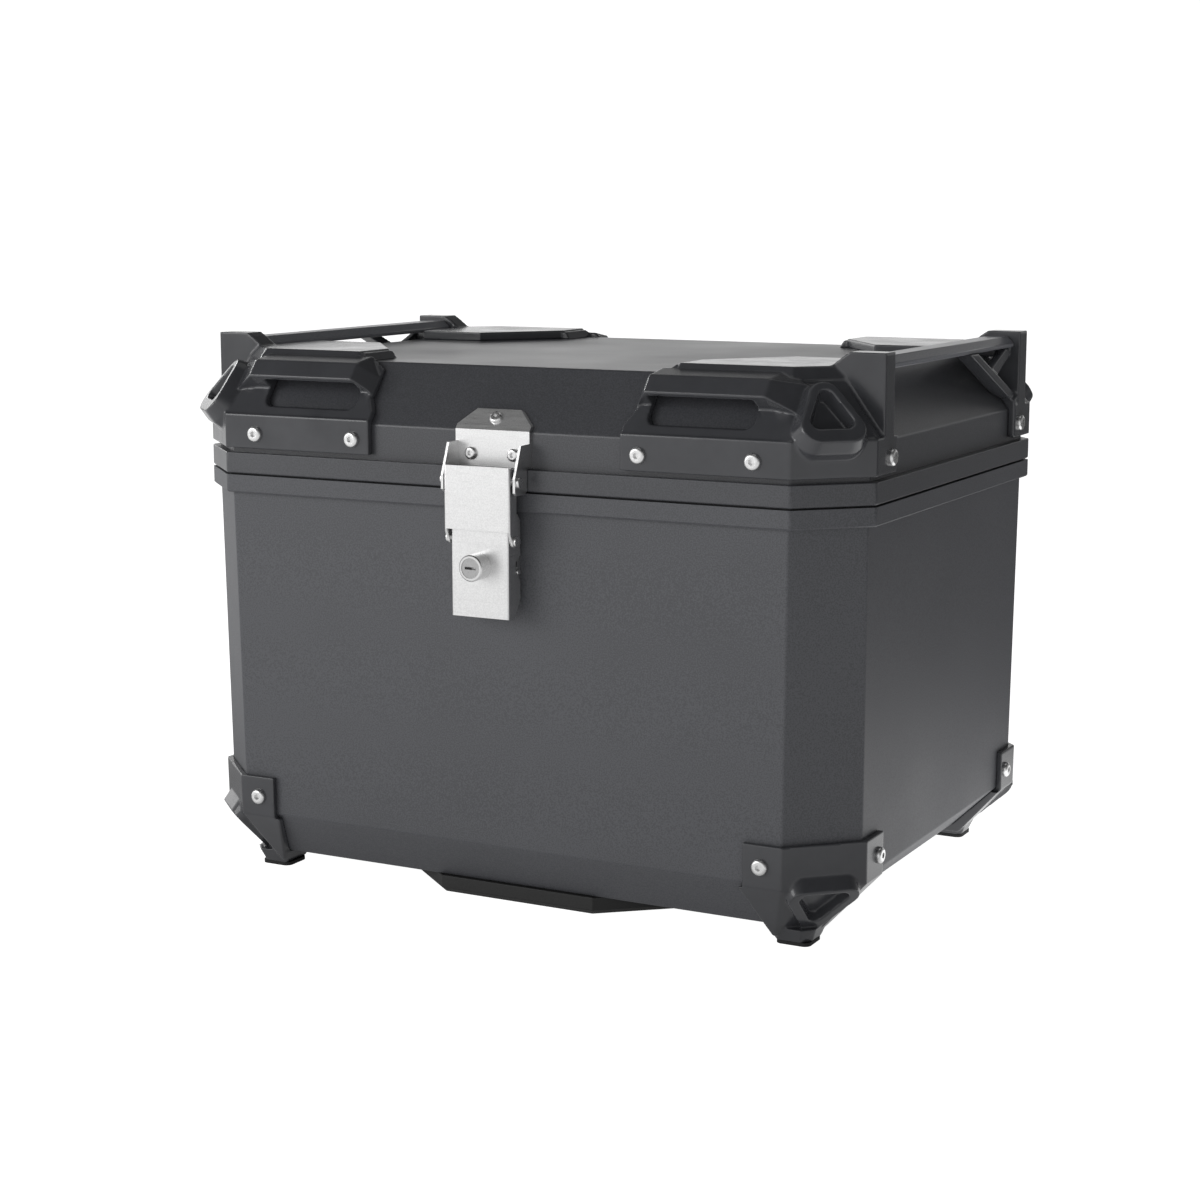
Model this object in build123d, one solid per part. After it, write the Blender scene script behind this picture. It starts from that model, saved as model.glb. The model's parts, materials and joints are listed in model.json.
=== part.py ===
"""Motorcycle top case: aluminium box with a hinged lid, corner guards and an over-centre latch.

Millimetres. -Y is the latch side, +X is to the right of someone facing the latch, +Z is up.
The origin is on the underside of the mounting plate, in the middle of the case. Heights below
are counted from a datum GROUND_Z above that plane, and the pieces are moved up when saved.
"""
from build123d import *
import os
from math import hypot

os.makedirs("parts", exist_ok=True)

# ---------------------------------------------------------------- driving dimensions
WIDTH = 428.0               # over the two rims, along X
DEPTH = 329.0               # over the two rims, along Y
CHAMFER_X = 35.0            # corner chamfer of the rims, along X
CHAMFER_Y = 34.0            # corner chamfer of the rims, along Y
WALL = 1.5                  # sheet thickness of case and lid

GROUND_Z = -2.3             # underside of the mounting plate and of the feet
FLOOR_Z = 8.2               # underside of the case floor
CREASE_Z = 36.9             # where the lower bevel meets the walls
CASE_TOP_Z = 238.5          # cut edge of the case wall, inside the rim
CASE_RIM_LOW = 230.6
CASE_RIM_TOP = 241.0
LID_RIM_LOW = 241.8
LID_RIM_TOP = 254.1
LID_LOW_Z = 244.3           # cut edge of the lid wall, inside the rim
LID_BAND_Z = 274.0          # where the lid bevel starts
LID_TOP_Z = 308.0

FLOOR_HALF_X = 178.0
FLOOR_HALF_Y = 136.3
FLOOR_REACH_INSET = 32.0    # how far the floor's corner chamfer lies inside the rim's
CREASE_INSETS = (6.1, 6.0, 7.5)   # of the walls at the lower crease: along X, along Y, at the chamfer
TOP_INSETS = (4.8, 3.5, 3.9)      # of the walls at their top
LID_INSET = 4.5
LID_BEVEL_RUN = 25.5        # horizontal run of the lid bevel

GUARD_T = 4.5               # moulding thickness of the lid guards
LOW_WING_T = 3.4            # of the lower guards, on the walls
LOW_COVER_T = 5.5           # of the lower guards, at the floor
GUARD_LOW_Z = 257.0
GUARD_LEDGE_Z = 277.0
DECK_T = 5.5
POST_OUT_Y = 120.8
POST_IN_Y = 106.5
POST_TOP_Z = 321.0

HINGE_Y = 169.8
HINGE_Z = 241.4
HINGE_X = 46.0
HINGE_WIDTH = 56.0
HINGE_PIN_R = 2.0
KNUCKLE_R = 3.6

RUNNING = 0.05              # radial clearance of a pivot

LEVER_PIVOT = (-174.6, 230.0)   # Y, Z of the pin that the lever turns on
LINK_PIVOT = (-173.3, 215.5)    # Y, Z of the pins between lever and link
STRIKE_PIN = (-174.6, 248.0)    # Y, Z of the pin that the link pulls down
PIVOT_R = 2.0
LEVER_FRONT_Y = -176.8
LINK_FRONT_Y = -179.8
LATCH_SHEET = 1.5
LOCK_Z = 201.0
LOCK_FACE_Y = -187.3

RACK_SLOT_R = 3.3           # M6 clearance
RACK_SLOT_LENGTH = 24.0
RACK_SPACING_X = 140.0
RACK_SPACING_Y = 100.0

M5_R = 2.5
M5_HOLE_R = 2.6
M4_R = 2.0
M4_HOLE_R = 2.1

# ---------------------------------------------------------------- section helpers
HALF_X = WIDTH / 2
HALF_Y = DEPTH / 2
FRONT_Y = -HALF_Y
BEVEL_RISE = LID_TOP_Z - LID_BAND_Z
BEVEL_LENGTH = hypot(LID_BEVEL_RUN, BEVEL_RISE)
NORMAL_X = CHAMFER_Y / hypot(CHAMFER_X, CHAMFER_Y)
NORMAL_Y = CHAMFER_X / hypot(CHAMFER_X, CHAMFER_Y)
REACH = NORMAL_X * (HALF_X - CHAMFER_X) + NORMAL_Y * HALF_Y


def octagon(inset_x, inset_y, inset_reach):
    """Corner-chamfered rectangle: the rim's outline moved in by three insets."""
    half_x = HALF_X - inset_x
    half_y = HALF_Y - inset_y
    reach = REACH - inset_reach
    cut_x = (reach - NORMAL_Y * half_y) / NORMAL_X
    cut_y = (reach - NORMAL_X * half_x) / NORMAL_Y
    return [
        (half_x, -cut_y), (half_x, cut_y), (cut_x, half_y), (-cut_x, half_y),
        (-half_x, cut_y), (-half_x, -cut_y), (-cut_x, -half_y), (cut_x, -half_y),
    ]


def raised(points, z):
    return [Vector(x, y, z) for x, y in points]


def skin(rings):
    """Closed solid through rings of equally many points, with flat faces."""
    faces = [Face(Wire.make_polygon(rings[0], close=True)), Face(Wire.make_polygon(rings[-1], close=True))]
    for low, high in zip(rings, rings[1:]):
        for i in range(len(low)):
            j = (i + 1) % len(low)
            quad = [low[i], low[j], high[j], high[i]]
            normal = (quad[1] - quad[0]).cross(quad[2] - quad[0])
            off_plane = abs(normal.normalized().dot(quad[3] - quad[0])) if normal.length > 1e-9 else 1.0
            if off_plane < 1e-4:
                faces.append(Face(Wire.make_polygon(quad, close=True)))
            else:
                faces.append(Face(Wire.make_polygon([quad[0], quad[1], quad[2]], close=True)))
                faces.append(Face(Wire.make_polygon([quad[0], quad[2], quad[3]], close=True)))
    return Solid(Shell(faces))


def prism(inset, z_low, z_high):
    outline = octagon(inset, inset, inset)
    return skin([raised(outline, z_low), raised(outline, z_high)])


def ring(z_low, z_high, inset_out, inset_in):
    return prism(inset_out, z_low, z_high) - prism(inset_in, z_low - 1, z_high + 1)


def block(x_low, x_high, y_low, y_high, z_low, z_high):
    centre = ((x_low + x_high) / 2, (y_low + y_high) / 2, (z_low + z_high) / 2)
    return Pos(*centre) * Box(x_high - x_low, y_high - y_low, z_high - z_low)


def slab_x(points, x_low, x_high):
    """Outline of (Y, Z) points, extruded along X."""
    return skin([[Vector(x, y, z) for y, z in points] for x in (x_low, x_high)])


def slab_y(points, y_low, y_high):
    """Outline of (X, Z) points, extruded along Y."""
    return skin([[Vector(x, y, z) for x, z in points] for y in (y_low, y_high)])


def slab_z(points, z_low, z_high):
    return skin([raised(points, z_low), raised(points, z_high)])


def rod(start, direction, radius, length):
    """Cylinder from a start point along a direction."""
    place = Plane(origin=start, z_dir=direction)
    return place.location * Cylinder(radius, length, align=(Align.CENTER, Align.CENTER, Align.MIN))


def rod_x(y, z, radius, x_low, x_high):
    return rod((x_low, y, z), (1, 0, 0), radius, x_high - x_low)


def four_corners(front_right, rear_right):
    """Front left, front right, rear left and rear right from the two right-hand shapes."""
    rear = mirror(rear_right, about=Plane.XZ)
    return {
        "front_left": mirror(front_right, about=Plane.YZ),
        "front_right": front_right,
        "rear_left": mirror(rear, about=Plane.YZ),
        "rear_right": rear,
    }


def solids_of(shapes):
    return Compound(children=[solid for shape in shapes for solid in shape.solids()])


def save(name, shape):
    """Write one piece, with its solids moved up from the datum to the frame's origin."""
    solids = [Pos(0, 0, -GROUND_Z) * solid for solid in shape.solids()]
    export_step(solids[0] if len(solids) == 1 else Compound(children=solids), f"parts/{name}.step")


# ---------------------------------------------------------------- fasteners
def button_screw(seat, outward, radius, length):
    """Button-head socket screw whose head sits on seat and whose shank runs inwards."""
    head_r = radius * 1.85
    head_h = radius * 1.05
    place = Plane(origin=seat, z_dir=outward).location
    upright = (Align.CENTER, Align.CENTER, Align.MIN)
    head = Cylinder(head_r, head_h, align=upright)
    head = fillet(head.edges().filter_by(GeomType.CIRCLE).sort_by(Axis.Z)[-1:], head_h * 0.7)
    socket = Pos(0, 0, head_h * 0.4) * extrude(RegularPolygon(radius * 0.72, 6), head_h)
    shank = Pos(0, 0, -length) * Cylinder(radius, length, align=upright)
    return place * (head - socket + shank)


def nut(seat, inward, radius):
    """Hexagon nut that sits on the inner wall at seat."""
    place = Plane(origin=seat, z_dir=inward).location
    body = extrude(RegularPolygon(radius * 1.85, 6), radius * 1.6)
    bore = Cylinder(radius, 20)
    return place * (body - bore)


def rivet(seat, outward, radius, grip, head_r, head_h=1.2):
    """Blind rivet: flat round head outside, swelled head inside."""
    place = Plane(origin=seat, z_dir=outward).location
    upright = (Align.CENTER, Align.CENTER, Align.MIN)
    head = fillet(Cylinder(head_r, head_h, align=upright).edges().sort_by(Axis.Z)[-1:], head_h * 0.6)
    shank = Pos(0, 0, -grip) * Cylinder(radius, grip, align=upright)
    tail = Pos(0, 0, -grip - 2.0) * Cylinder(radius * 1.4, 2.0, align=upright)
    return place * (head + shank + tail)


# ---------------------------------------------------------------- case and lid shells
def case_block(shrink=0.0):
    """Outer solid of the case, or its hollow when shrunk by the wall."""
    floor_rise = shrink
    bevel_inset = 0.45 * shrink
    crease_rise = 0.4 * shrink
    floor = octagon(
        HALF_X - FLOOR_HALF_X + bevel_inset, HALF_Y - FLOOR_HALF_Y + bevel_inset,
        FLOOR_REACH_INSET + bevel_inset,
    )
    crease = octagon(*[inset + shrink for inset in CREASE_INSETS])
    top = octagon(*[inset + shrink for inset in TOP_INSETS])
    return skin([
        raised(floor, FLOOR_Z + floor_rise),
        raised(crease, CREASE_Z + crease_rise),
        raised(top, CASE_TOP_Z),
    ])


def lid_block(grow=0.0, low=LID_LOW_Z):
    """Outer solid of the lid, grown outwards or shrunk inwards by a thickness."""
    top_inset = LID_INSET + LID_BEVEL_RUN - grow * (BEVEL_LENGTH - LID_BEVEL_RUN) / BEVEL_RISE
    band_inset = LID_INSET - grow
    band = octagon(band_inset, band_inset, band_inset)
    top = octagon(top_inset, top_inset, top_inset)
    band_z = LID_BAND_Z + grow * (BEVEL_LENGTH - BEVEL_RISE) / LID_BEVEL_RUN
    return skin([raised(band, low), raised(band, band_z), raised(top, LID_TOP_Z + grow)])


case_outer = case_block()
lid_outer = lid_block()


def softened(shape, radius):
    """Round every edge except those of the open mouth."""
    mouths = (LID_LOW_Z, CASE_TOP_Z)
    edges = [edge for edge in shape.edges() if min(abs(edge.center().Z - z) for z in mouths) > 0.01]
    return fillet(edges, radius)


def rack_slot(x, y, z_low, z_high, radius=RACK_SLOT_R, length=RACK_SLOT_LENGTH):
    half_run = length / 2 - radius
    middle = block(x - half_run, x + half_run, y - radius, y + radius, z_low, z_high)
    ends = [rod((x + side * half_run, y, z_low), (0, 0, 1), radius, z_high - z_low) for side in (-1, 1)]
    return middle + ends[0] + ends[1]


RACK_POINTS = [(sx * RACK_SPACING_X / 2, sy * RACK_SPACING_Y / 2) for sx in (-1, 1) for sy in (-1, 1)]
PLATE_SCREWS = [
    (sx * x, sy * y) for x, y in ((30.0, 118.0), (96.0, 20.0)) for sx in (-1, 1) for sy in (-1, 1)
]

case_shell = softened(case_outer, 2.5) - case_block(WALL)
lid_shell = softened(lid_outer, 2.5) - lid_block(-WALL, low=LID_LOW_Z - 1)
for x, y in RACK_POINTS:
    case_shell -= rack_slot(x, y, FLOOR_Z - 1, FLOOR_Z + 5)
for x, y in PLATE_SCREWS:
    case_shell -= rod((x, y, FLOOR_Z - 1), (0, 0, 1), M5_HOLE_R, 5)

# ---------------------------------------------------------------- rims and seal
RIM_LEG_GAP = 0.1           # between the sheet and the inner leg of a rim
RIM_LEG_T = 2.0
SEAL_OUT = 2.6
SEAL_IN = 6.9
LID_RIM_WEB = 10.5          # width of the lid rim's web


def rim_body(z_low, z_high):
    body = fillet(prism(0, z_low, z_high).edges().filter_by(Axis.Z), 3.0)
    return chamfer(body.faces().sort_by(Axis.Z)[0].edges(), 0.8)


def wall_prism(shrink, z_low, z_high):
    """Upright block inside the top of the case wall."""
    return slab_z(octagon(*[inset + shrink for inset in TOP_INSETS]), z_low, z_high)


case_rim_hollow = wall_prism(WALL + RIM_LEG_GAP + RIM_LEG_T, CASE_RIM_LOW - 1, CASE_RIM_TOP + 1)
sheet_groove = wall_prism(0.5, CASE_RIM_LOW - 1, CASE_TOP_Z)
sheet_groove -= wall_prism(WALL + RIM_LEG_GAP, CASE_RIM_LOW - 2, CASE_TOP_Z + 1)
case_rim = rim_body(CASE_RIM_LOW, CASE_RIM_TOP) - case_rim_hollow - case_shell - sheet_groove

LID_LEG_IN = LID_INSET + WALL
lid_rim = rim_body(LID_RIM_LOW, LID_RIM_TOP) - prism(LID_RIM_WEB, LID_RIM_LOW - 1, LID_RIM_TOP + 1)
lid_rim -= ring(LID_LOW_Z, LID_RIM_TOP + 1, LID_INSET, LID_LEG_IN)
lid_rim -= ring(LID_LOW_Z, LID_RIM_TOP + 1, LID_LEG_IN + RIM_LEG_T, LID_RIM_WEB + 2)
lid_rim -= ring(LID_RIM_LOW - 1, LID_RIM_LOW + 1.4, SEAL_OUT - 0.1, SEAL_IN + 0.1)
lid_seal = ring(CASE_RIM_TOP + 0.15, LID_RIM_LOW + 1.4, SEAL_OUT, SEAL_IN)

# ---------------------------------------------------------------- floor mat
MAT_T = 3.0
mat_low = octagon(HALF_X - FLOOR_HALF_X + 4, HALF_Y - FLOOR_HALF_Y + 4, FLOOR_REACH_INSET + 4)
floor_mat = slab_z(mat_low, FLOOR_Z + WALL, FLOOR_Z + WALL + MAT_T)
for x, y in RACK_POINTS:
    floor_mat -= rack_slot(x, y, FLOOR_Z, FLOOR_Z + 8, RACK_SLOT_R + 4, RACK_SLOT_LENGTH + 8)
for x, y in PLATE_SCREWS:
    floor_mat -= rod((x, y, FLOOR_Z), (0, 0, 1), 7.0, 8)

# ---------------------------------------------------------------- mounting plate
PLATE_HALF_X = 120.0
PLATE_HALF_Y = 139.0
PLATE_CUT_X = 70.0
PLATE_CUT_Y = 59.0
PLATE_SKIN = 2.5
RIB_T = 6.0


def plate_outline(inset):
    x = PLATE_HALF_X - inset
    y = PLATE_HALF_Y - inset
    cut_x = PLATE_CUT_X - 0.5 * inset
    cut_y = PLATE_CUT_Y - 0.5 * inset
    return [
        (x, -y + cut_y), (x, y - cut_y), (x - cut_x, y), (-x + cut_x, y),
        (-x, y - cut_y), (-x, -y + cut_y), (-x + cut_x, -y), (x - cut_x, -y),
    ]


BELOW_Z = GROUND_Z - 1
SCREW_SEAT_Z = 2.0
plate_full = skin([
    raised(plate_outline(3.0), GROUND_Z),
    raised(plate_outline(0), GROUND_Z + 3.0),
    raised(plate_outline(0), FLOOR_Z),
])
pocket = slab_z(plate_outline(8.0), BELOW_Z, FLOOR_Z - PLATE_SKIN)
ribs = block(-RIB_T, RIB_T, -PLATE_HALF_Y, PLATE_HALF_Y, BELOW_Z, FLOOR_Z)
ribs += block(-PLATE_HALF_X, PLATE_HALF_X, -RIB_T, RIB_T, BELOW_Z, FLOOR_Z)
for x, y in RACK_POINTS:
    ribs += block(x - 20, x + 20, y - 11, y + 11, BELOW_Z, FLOOR_Z)
for x, y in PLATE_SCREWS:
    ribs += rod((x, y, BELOW_Z), (0, 0, 1), 7.5, FLOOR_Z - BELOW_Z)
mount_plate = plate_full - (pocket - ribs)
for x, y in RACK_POINTS:
    mount_plate -= rack_slot(x, y, BELOW_Z, FLOOR_Z + 1)
for x, y in PLATE_SCREWS:
    mount_plate -= rod((x, y, BELOW_Z), (0, 0, 1), M5_HOLE_R, FLOOR_Z + 1 - BELOW_Z)
    mount_plate -= rod((x, y, BELOW_Z), (0, 0, 1), 5.2, SCREW_SEAT_Z - BELOW_Z)
mount_plate_screws = [button_screw((x, y, SCREW_SEAT_Z), (0, 0, -1), M5_R, 13.0) for x, y in PLATE_SCREWS]
mount_plate_nuts = [nut((x, y, FLOOR_Z + WALL), (0, 0, 1), M5_R) for x, y in PLATE_SCREWS]

# ---------------------------------------------------------------- lower corner guards
FOOT_X = 171.5
FOOT_Y = 126.0
PAD_T = 2.0
PAD_TOP_Z = GROUND_Z + PAD_T
WING_TOP_Z = 59.5
WING_LOW_Z = 34.5
LOW_SCREW_Z = 47.5
LOW_SCREW_X = 163.5
LOW_SCREW_Y = 110.0
LOW_BOSS_H = 8.0


def rounded_triangle(half_base, base, apex, radius):
    """Face with its base along the local X axis and its apex on the local Y axis."""
    face = make_face(Polyline((-half_base, base), (half_base, base), (0, apex), close=True))
    return fillet(face.vertices(), radius)


def low_cover():
    """Skin of a lower guard: thin on the walls, thicker towards the floor."""
    floor_insets = (HALF_X - FLOOR_HALF_X, HALF_Y - FLOOR_HALF_Y, FLOOR_REACH_INSET)
    return skin([
        raised(octagon(*[inset - LOW_WING_T for inset in floor_insets]), FLOOR_Z - LOW_COVER_T),
        raised(octagon(*[inset - LOW_WING_T for inset in CREASE_INSETS]), CREASE_Z - 0.4 * LOW_WING_T),
        raised(octagon(*[inset - LOW_WING_T for inset in TOP_INSETS]), CASE_TOP_Z),
    ]) - case_outer


def low_foot():
    """Stub between the guard and its rubber pad."""
    low = [
        (163.0, -136.5), (177.0, -136.5), (181.5, -130.0),
        (181.5, -118.0), (178.0, -115.5), (163.0, -115.5),
    ]
    high = [
        (159.0, -141.0), (179.0, -141.0), (185.0, -134.0),
        (185.0, -116.0), (181.0, -113.0), (159.0, -113.0),
    ]
    return skin([raised(low, PAD_TOP_Z), raised(high, FLOOR_Z)])


def lower_guard():
    """Front right guard of the case floor: two wings, a bevel cover, a boss and a foot."""
    far_x = HALF_X + 5
    far_y = FRONT_Y - 5
    wings = block(153.0, far_x, far_y, -103.0, WING_LOW_Z, WING_TOP_Z)
    low_zone = [(162.0, far_y), (far_x, far_y), (far_x, -111.0), (162.0, -111.0)]
    high_zone = [(150.0, far_y), (far_x, far_y), (far_x, -100.0), (150.0, -100.0)]
    tapered = skin([raised(low_zone, 2.0), raised(high_zone, WING_LOW_Z)])
    body = (low_cover() & (wings + tapered)) + (low_foot() - case_outer)
    run = CREASE_INSETS[2] - FLOOR_REACH_INSET
    rise = CREASE_Z - FLOOR_Z
    slope = hypot(run, rise)
    boss_place = Plane(
        origin=(191.4, -142.0, CREASE_Z), x_dir=(-NORMAL_Y, -NORMAL_X, 0),
        z_dir=(NORMAL_X * rise / slope, -NORMAL_Y * rise / slope, run / slope),
    )
    boss = boss_place * extrude(rounded_triangle(29.0, -6.0, 45.0, 9.5), LOW_BOSS_H, taper=14)
    root = boss_place * extrude(rounded_triangle(29.0, -6.0, 45.0, 9.5), -9.0)
    recess_top = boss_place * Pos(0, 0, LOW_BOSS_H + 1.0)
    recess = recess_top * extrude(rounded_triangle(18.0, -1.4, 30.5, 5.0), -7.0, taper=14)
    body = body + (boss + root - case_outer) - recess
    return body - block(0, far_x, far_y, 0, GROUND_Z - 20, PAD_TOP_Z)


lower_front_right = lower_guard()

# ---------------------------------------------------------------- lid corner guards
SKIRT_END_X = 80.0
SKIRT_END_Y = 101.5
STRAP_LEFT_X = 93.0         # full height of the strap starts here
STRAP_RIGHT_X = 163.0
STRAP_TOE_LEFT = 84.0       # where its ends die into the cover
STRAP_TOE_RIGHT = 179.0
SLOT_LEFT_X = 93.0
SLOT_RIGHT_X = 155.0
SLOT_LOW_Z = 281.5
SLOT_HIGH_Z = 297.0
RAIL_X = 200.0
RAIL_LOW_Z = 311.5
RAIL_SCREW_Y = 97.0


def strap():
    """Bridge that stands off the front bevel: lip, face, top and root, with sloping ends."""
    def section(x, lip, face, top):
        points = [lip, face, top, (28.0, 303.0), (17.0, 289.0)]
        return [Vector(x, FRONT_Y + inset, z) for inset, z in points]

    toe = ((11.5, 289.5), (20.0, 299.5), (24.5, 304.5))
    full = ((2.4, 299.0), (9.5, 308.0), (27.0, 310.9))
    return skin([
        section(STRAP_TOE_LEFT, *toe), section(STRAP_LEFT_X, *full),
        section(STRAP_RIGHT_X, *full), section(STRAP_TOE_RIGHT, *toe),
    ])


def finger_slot():
    """Pocket through the cover, behind and under the strap."""
    insets = [
        (-9, SLOT_LOW_Z), (31, SLOT_LOW_Z), (31, 300), (22.5, 304.5), (13.5, 302.5), (6.5, SLOT_HIGH_Z),
        (-9, SLOT_HIGH_Z),
    ]
    shape = slab_x([(FRONT_Y + inset, z) for inset, z in insets], SLOT_LEFT_X, SLOT_RIGHT_X)
    low_edges = shape.edges().filter_by(Axis.Y).group_by(Axis.Z)[0]
    return fillet(low_edges, 5.0)


def post(y_out, y_in):
    """Gusset that carries the end of a side rail."""
    outline = [(170, 300), (173, 313), (183, 313.5), (190, 318.8), (193.5, POST_TOP_Z),
               (HALF_X, POST_TOP_Z), (HALF_X, GUARD_LOW_Z), (205, GUARD_LOW_Z), (205, 270)]
    return slab_y(outline, -y_out, -y_in)


def ring_boss():
    """Rounded triangle with a sunk three-sided pyramid, on the corner chamfer."""
    lean = BEVEL_LENGTH
    place = Plane(
        origin=(195.0, -149.0, 277.0), x_dir=(NORMAL_Y, NORMAL_X, 0),
        z_dir=(NORMAL_X * BEVEL_RISE / lean, -NORMAL_Y * BEVEL_RISE / lean, LID_BEVEL_RUN / lean),
    )
    outline = rounded_triangle(27.2, -8.5, 50.5, 12.0)
    flank = place * extrude(outline, 8.3, taper=19)
    root = place * extrude(outline, -12)
    recess = place * Pos(0, 0, 9.0) * extrude(rounded_triangle(15.5, 2.0, 32.5, 5.0), -9.5, taper=16)
    return flank, root, recess


def brace():
    """Diagonal strut with a leg and a small upper arm, behind a rear post."""
    foot_y = -POST_IN_Y - 1
    strut = slab_x([(-23, 311.5), (-37, 311.5), (foot_y, 283.4), (foot_y, 277.3)], 201.0, 211.5)
    leg_low_z = GUARD_LOW_Z + 1
    leg = slab_x([(foot_y, 283), (-100.5, 280.3), (-100.5, leg_low_z), (foot_y, leg_low_z)], 203.0, 213.5)
    arm = slab_x([(-64, 300.5), (-76, 295.5), (-104, 309), (-92, 311.4)], 205.0, 210.0)
    return strut + leg + arm


def rail_tab():
    """Tongue under the end of a rail, with the rail screw's hole."""
    tab = block(193.0, 207.0, -POST_IN_Y - 1, -89.0, 306.5, RAIL_LOW_Z - 0.1)
    return tab - rod((RAIL_X, -RAIL_SCREW_Y, 300), (0, 0, 1), M5_HOLE_R, 20)


def lid_guard(with_brace):
    """Front right guard of the lid."""
    far = HALF_X + 20
    skirt = ring(GUARD_LOW_Z, GUARD_LEDGE_Z, 0.0, 12.0)
    skirt &= block(SKIRT_END_X, far, -far, -SKIRT_END_Y, 250, 290)
    cover_outline = [(SKIRT_END_X, 260), (SKIRT_END_X, 281), (104, 320), (far, 320), (far, 260)]
    cover = (lid_block(GUARD_T) - lid_outer) & slab_y(cover_outline, -far, -POST_IN_Y)
    deck_outline = [(104, -far), (102, -107), (138, -60), (182, -60), (190, -107), (far, -107), (far, -far)]
    deck = (lid_block(DECK_T) - lid_outer) & slab_z(deck_outline, LID_TOP_Z - 1, LID_TOP_Z + 12)
    body = skirt + cover + deck + post(POST_OUT_Y, POST_IN_Y) + rail_tab() + strap()
    if with_brace:
        body += brace()
    flank, root, recess = ring_boss()
    body = body + flank + root
    body = body - lid_outer - finger_slot() - recess
    return max(body.solids(), key=lambda solid: solid.volume)


lid_front_right = lid_guard(False)
lid_rear_right = lid_guard(True)

# ---------------------------------------------------------------- side rails
RAIL_HALF_W = 10.0
RAIL_TOP_Z = 318.0
RAIL_END_Y = POST_IN_Y - 0.2
rail_right = block(
    RAIL_X - RAIL_HALF_W, RAIL_X + RAIL_HALF_W, -RAIL_END_Y, RAIL_END_Y, RAIL_LOW_Z, RAIL_TOP_Z,
)
rail_right = chamfer(rail_right.edges().filter_by(Axis.Y).group_by(Axis.Z)[-1], 4.0)
rail_right = fillet(rail_right.edges().filter_by(Axis.Y), 1.0)
rail_screw_points = [(RAIL_X, side * RAIL_SCREW_Y) for side in (-1, 1)]
for x, y in rail_screw_points:
    rail_right -= rod((x, y, RAIL_LOW_Z - 1), (0, 0, 1), M5_R, 5.5)

# ---------------------------------------------------------------- striker on the lid
STRIKER_HALF_X = 23.5
STRIKER_TOP_HALF_X = 13.9
STRIKER_T = 2.2
STRIKER_SLOPE = 13.0        # length of the plate on the bevel
STRIKER_LOW_Z = LID_RIM_TOP + 0.3
EAR_T = 1.5
up_slope = (LID_BEVEL_RUN / BEVEL_LENGTH, BEVEL_RISE / BEVEL_LENGTH)
band_y = FRONT_Y + LID_INSET


def on_bevel(along, out):
    """(Y, Z) of a point on the front bevel: distance up the slope and height off it."""
    y = band_y + up_slope[0] * along - up_slope[1] * out
    return y, LID_BAND_Z + up_slope[1] * along + up_slope[0] * out


striker_profile = [
    (band_y, STRIKER_LOW_Z), (band_y - STRIKER_T, STRIKER_LOW_Z),
    (band_y - STRIKER_T, LID_BAND_Z + STRIKER_T * (BEVEL_LENGTH - BEVEL_RISE) / LID_BEVEL_RUN),
    on_bevel(STRIKER_SLOPE, STRIKER_T), on_bevel(STRIKER_SLOPE, 0), (band_y, LID_BAND_Z),
]
strike_plate = slab_x(striker_profile, -STRIKER_HALF_X, STRIKER_HALF_X)
ear_outline = [
    (band_y, 268.2), (-171.5, 268.0), (-178.4, 250.5), (-178.4, 242.6), (-176.5, 241.0), (-166.8, 241.0),
    (-165.2, 243.0), (-165.2, STRIKER_LOW_Z), (band_y, STRIKER_LOW_Z),
]
for side in (-1, 1):
    shoulder = [
        (side * STRIKER_TOP_HALF_X, 289.0), (side * STRIKER_TOP_HALF_X, 285.6),
        (side * STRIKER_HALF_X, 277.3), (side * (STRIKER_HALF_X + 5), 277.3),
        (side * (STRIKER_HALF_X + 5), 289.0),
    ]
    strike_plate -= slab_y(shoulder, -180, -130)
    strike_plate += slab_x(ear_outline, side * STRIKER_HALF_X, side * (STRIKER_HALF_X - EAR_T))
strike_plate -= rod_x(*STRIKE_PIN, PIVOT_R, -30, 30)
strike_pin = rod_x(*STRIKE_PIN, PIVOT_R, -STRIKER_HALF_X - 0.2, STRIKER_HALF_X + 0.2)
for side in (-1, 1):
    pin_head = rod((side * STRIKER_HALF_X, *STRIKE_PIN), (side, 0, 0), 3.0, 1.6)
    strike_pin += fillet(pin_head.edges().sort_by(Axis.X)[-1 if side > 0 else 0], 0.8)

# ---------------------------------------------------------------- latch on the case
BASE_HALF_X = 15.8
BASE_FRONT_Y = -163.2
BASE_LOW_Z = 178.0
BASE_TOP_Z = 224.0
BASE_EAR_X = (9.5, 13.0)
EAR_BOSS_R = 3.2
base_ear = [
    (BASE_FRONT_Y + 1, 216.0), (-168.0, 217.5), (-172.4, 226.5), (LEVER_PIVOT[0] - 2.6, LEVER_PIVOT[1] - 1.8),
    (LEVER_PIVOT[0] + 1.0, LEVER_PIVOT[1] + 3.0), (-166.0, 231.0), (-165.4, 229.0), (-165.4, BASE_TOP_Z),
    (BASE_FRONT_Y + 1, BASE_TOP_Z),
]
latch_base = block(-BASE_HALF_X, BASE_HALF_X, BASE_FRONT_Y, -150.0, BASE_LOW_Z, BASE_TOP_Z) - case_outer
for side in (-1, 1):
    ear_x = sorted(side * x for x in BASE_EAR_X)
    latch_base += slab_x(base_ear, *ear_x) + rod_x(*LEVER_PIVOT, EAR_BOSS_R, *ear_x)
latch_base -= rod_x(*LEVER_PIVOT, PIVOT_R, -30, 30)
KEEPER_Y = -168.2           # front of the lip that the lock cam turns behind
latch_base += block(-5, 5, KEEPER_Y, BASE_FRONT_Y + 1, 185.3, 186.9)
latch_base += block(-5, 5, KEEPER_Y, KEEPER_Y + 1.4, 185.3, 191.1)
STOP_POINT = (-166.2, 197.5)    # Y, Z of the two stub pins that the lever's walls rest over
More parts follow.
